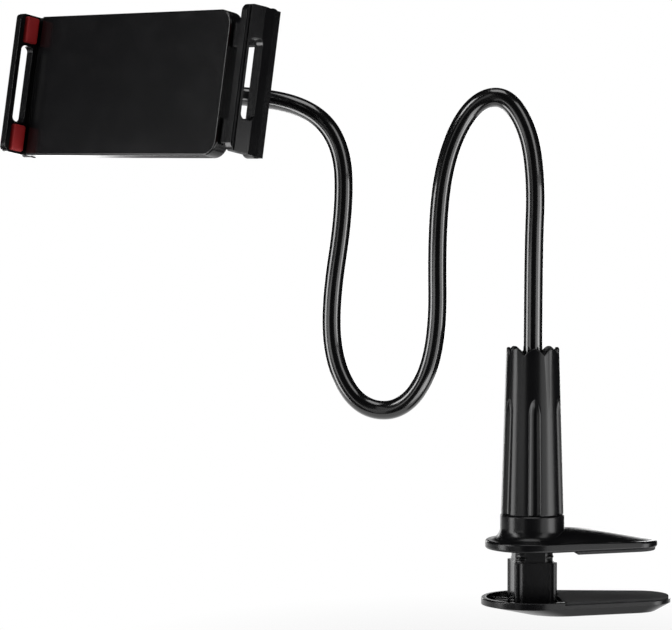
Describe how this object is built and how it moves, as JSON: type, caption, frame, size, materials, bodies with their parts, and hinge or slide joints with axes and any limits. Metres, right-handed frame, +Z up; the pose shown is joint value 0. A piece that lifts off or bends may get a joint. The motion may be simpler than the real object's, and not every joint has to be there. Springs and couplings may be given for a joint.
{
  "type": "phone gooseneck holder",
  "caption": "Bendable gooseneck holder with a table clamp, fluted screw handle and a ball-jointed cradle whose spring jaw grips a phone or small tablet.",
  "frame": {"origin": "on the handle's axis, in the plane of the clamp's upper pad that rests on the table top", "axes": "+Z up along the handle, +X along the cradle's long side, -Y the way the cradle faces"},
  "size_m": [0.2746, 0.2234, 0.306],
  "materials": {
    "satin_black": "satin moulded plastic with a fine grain",
    "gloss_black": "smooth moulded plastic",
    "sleeve_black": "glossy soft sleeve",
    "red_pad": "matt soft pad",
    "clamp_pad": "matt foam pad",
    "core_metal": "drawn rod",
    "steel": "bright wire and screws"
  },
  "bodies": {
    "clamp_base": {"upper_jaw": "satin_black", "upper_jaw_pad": "clamp_pad"},
    "lower_jaw": {"lower_jaw": "satin_black", "lower_jaw_pad": "clamp_pad"},
    "handle": {"grip_handle": "satin_black", "handle_ring": "steel"},
    "neck_root": {"neck_plug": "satin_black", "plug_ring": "steel"},
    "neck": {"neck_core": "core_metal", "neck_sleeve": "sleeve_black"},
    "neck_tip": {"ball_stud": "satin_black"},
    "ball_nut": {"lock_nut": "satin_black"},
    "cradle": {"cradle_front_cover": "gloss_black", "cradle_back_cover": "gloss_black", "cover_screws": "steel", "upper_spring": "steel", "lower_spring": "steel", "fixed_jaw": "gloss_black", "fixed_jaw_upper_pad": "red_pad", "fixed_jaw_lower_pad": "red_pad"},
    "sliding_jaw": {"sliding_jaw": "gloss_black", "sliding_jaw_upper_pad": "red_pad", "sliding_jaw_lower_pad": "red_pad"}
  },
  "joints": [
    {"name": "handle_turn", "type": "hinge", "parent": "clamp_base", "child": "handle", "pos_m": [0, 0, 0], "axis": [0, 0, 1], "range_deg": [-1920, 2880]},
    {"name": "jaw_lift", "type": "slide", "parent": "clamp_base", "child": "lower_jaw", "axis": [0, 0, 1], "range_m": [-0.02401, 0.01601]},
    {"name": "neck_swivel", "type": "hinge", "parent": "handle", "child": "neck_root", "pos_m": [0, 0, 0.0882], "axis": [0, 0, 1], "continuous": true},
    {"name": "neck_lean", "type": "hinge", "parent": "neck_root", "child": "neck", "pos_m": [0, 0, 0.1045], "axis": [0.4617, -0.887, 0], "range_deg": [-25, 25], "deforming": ["neck_sleeve", "neck_core"]},
    {"name": "neck_tip_bend", "type": "hinge", "parent": "neck", "child": "neck_tip", "pos_m": [-0.1458, -0.08418, 0.23335], "axis": [0, 0, 1], "range_deg": [-30, 30], "deforming": ["neck_sleeve", "neck_core"]},
    {"name": "ball_tilt", "type": "hinge", "parent": "neck_tip", "child": "ball_nut", "pos_m": [-0.1458, -0.12218, 0.23335], "axis": [1, 0, 0], "range_deg": [-15, 35]},
    {"name": "cradle_spin", "type": "hinge", "parent": "ball_nut", "child": "cradle", "pos_m": [-0.1458, -0.12218, 0.23335], "axis": [0, -0.9842, 0.1771], "continuous": true},
    {"name": "jaw_slide", "type": "slide", "parent": "cradle", "child": "sliding_jaw", "axis": [1, 0, 0], "range_m": [-0.0165, 0.042], "deforming": ["upper_spring", "lower_spring"]}
  ],
  "couplings": [
    {"joint": "jaw_lift", "follows": "handle_turn", "m_per_rad": -0.00047746}
  ]
}
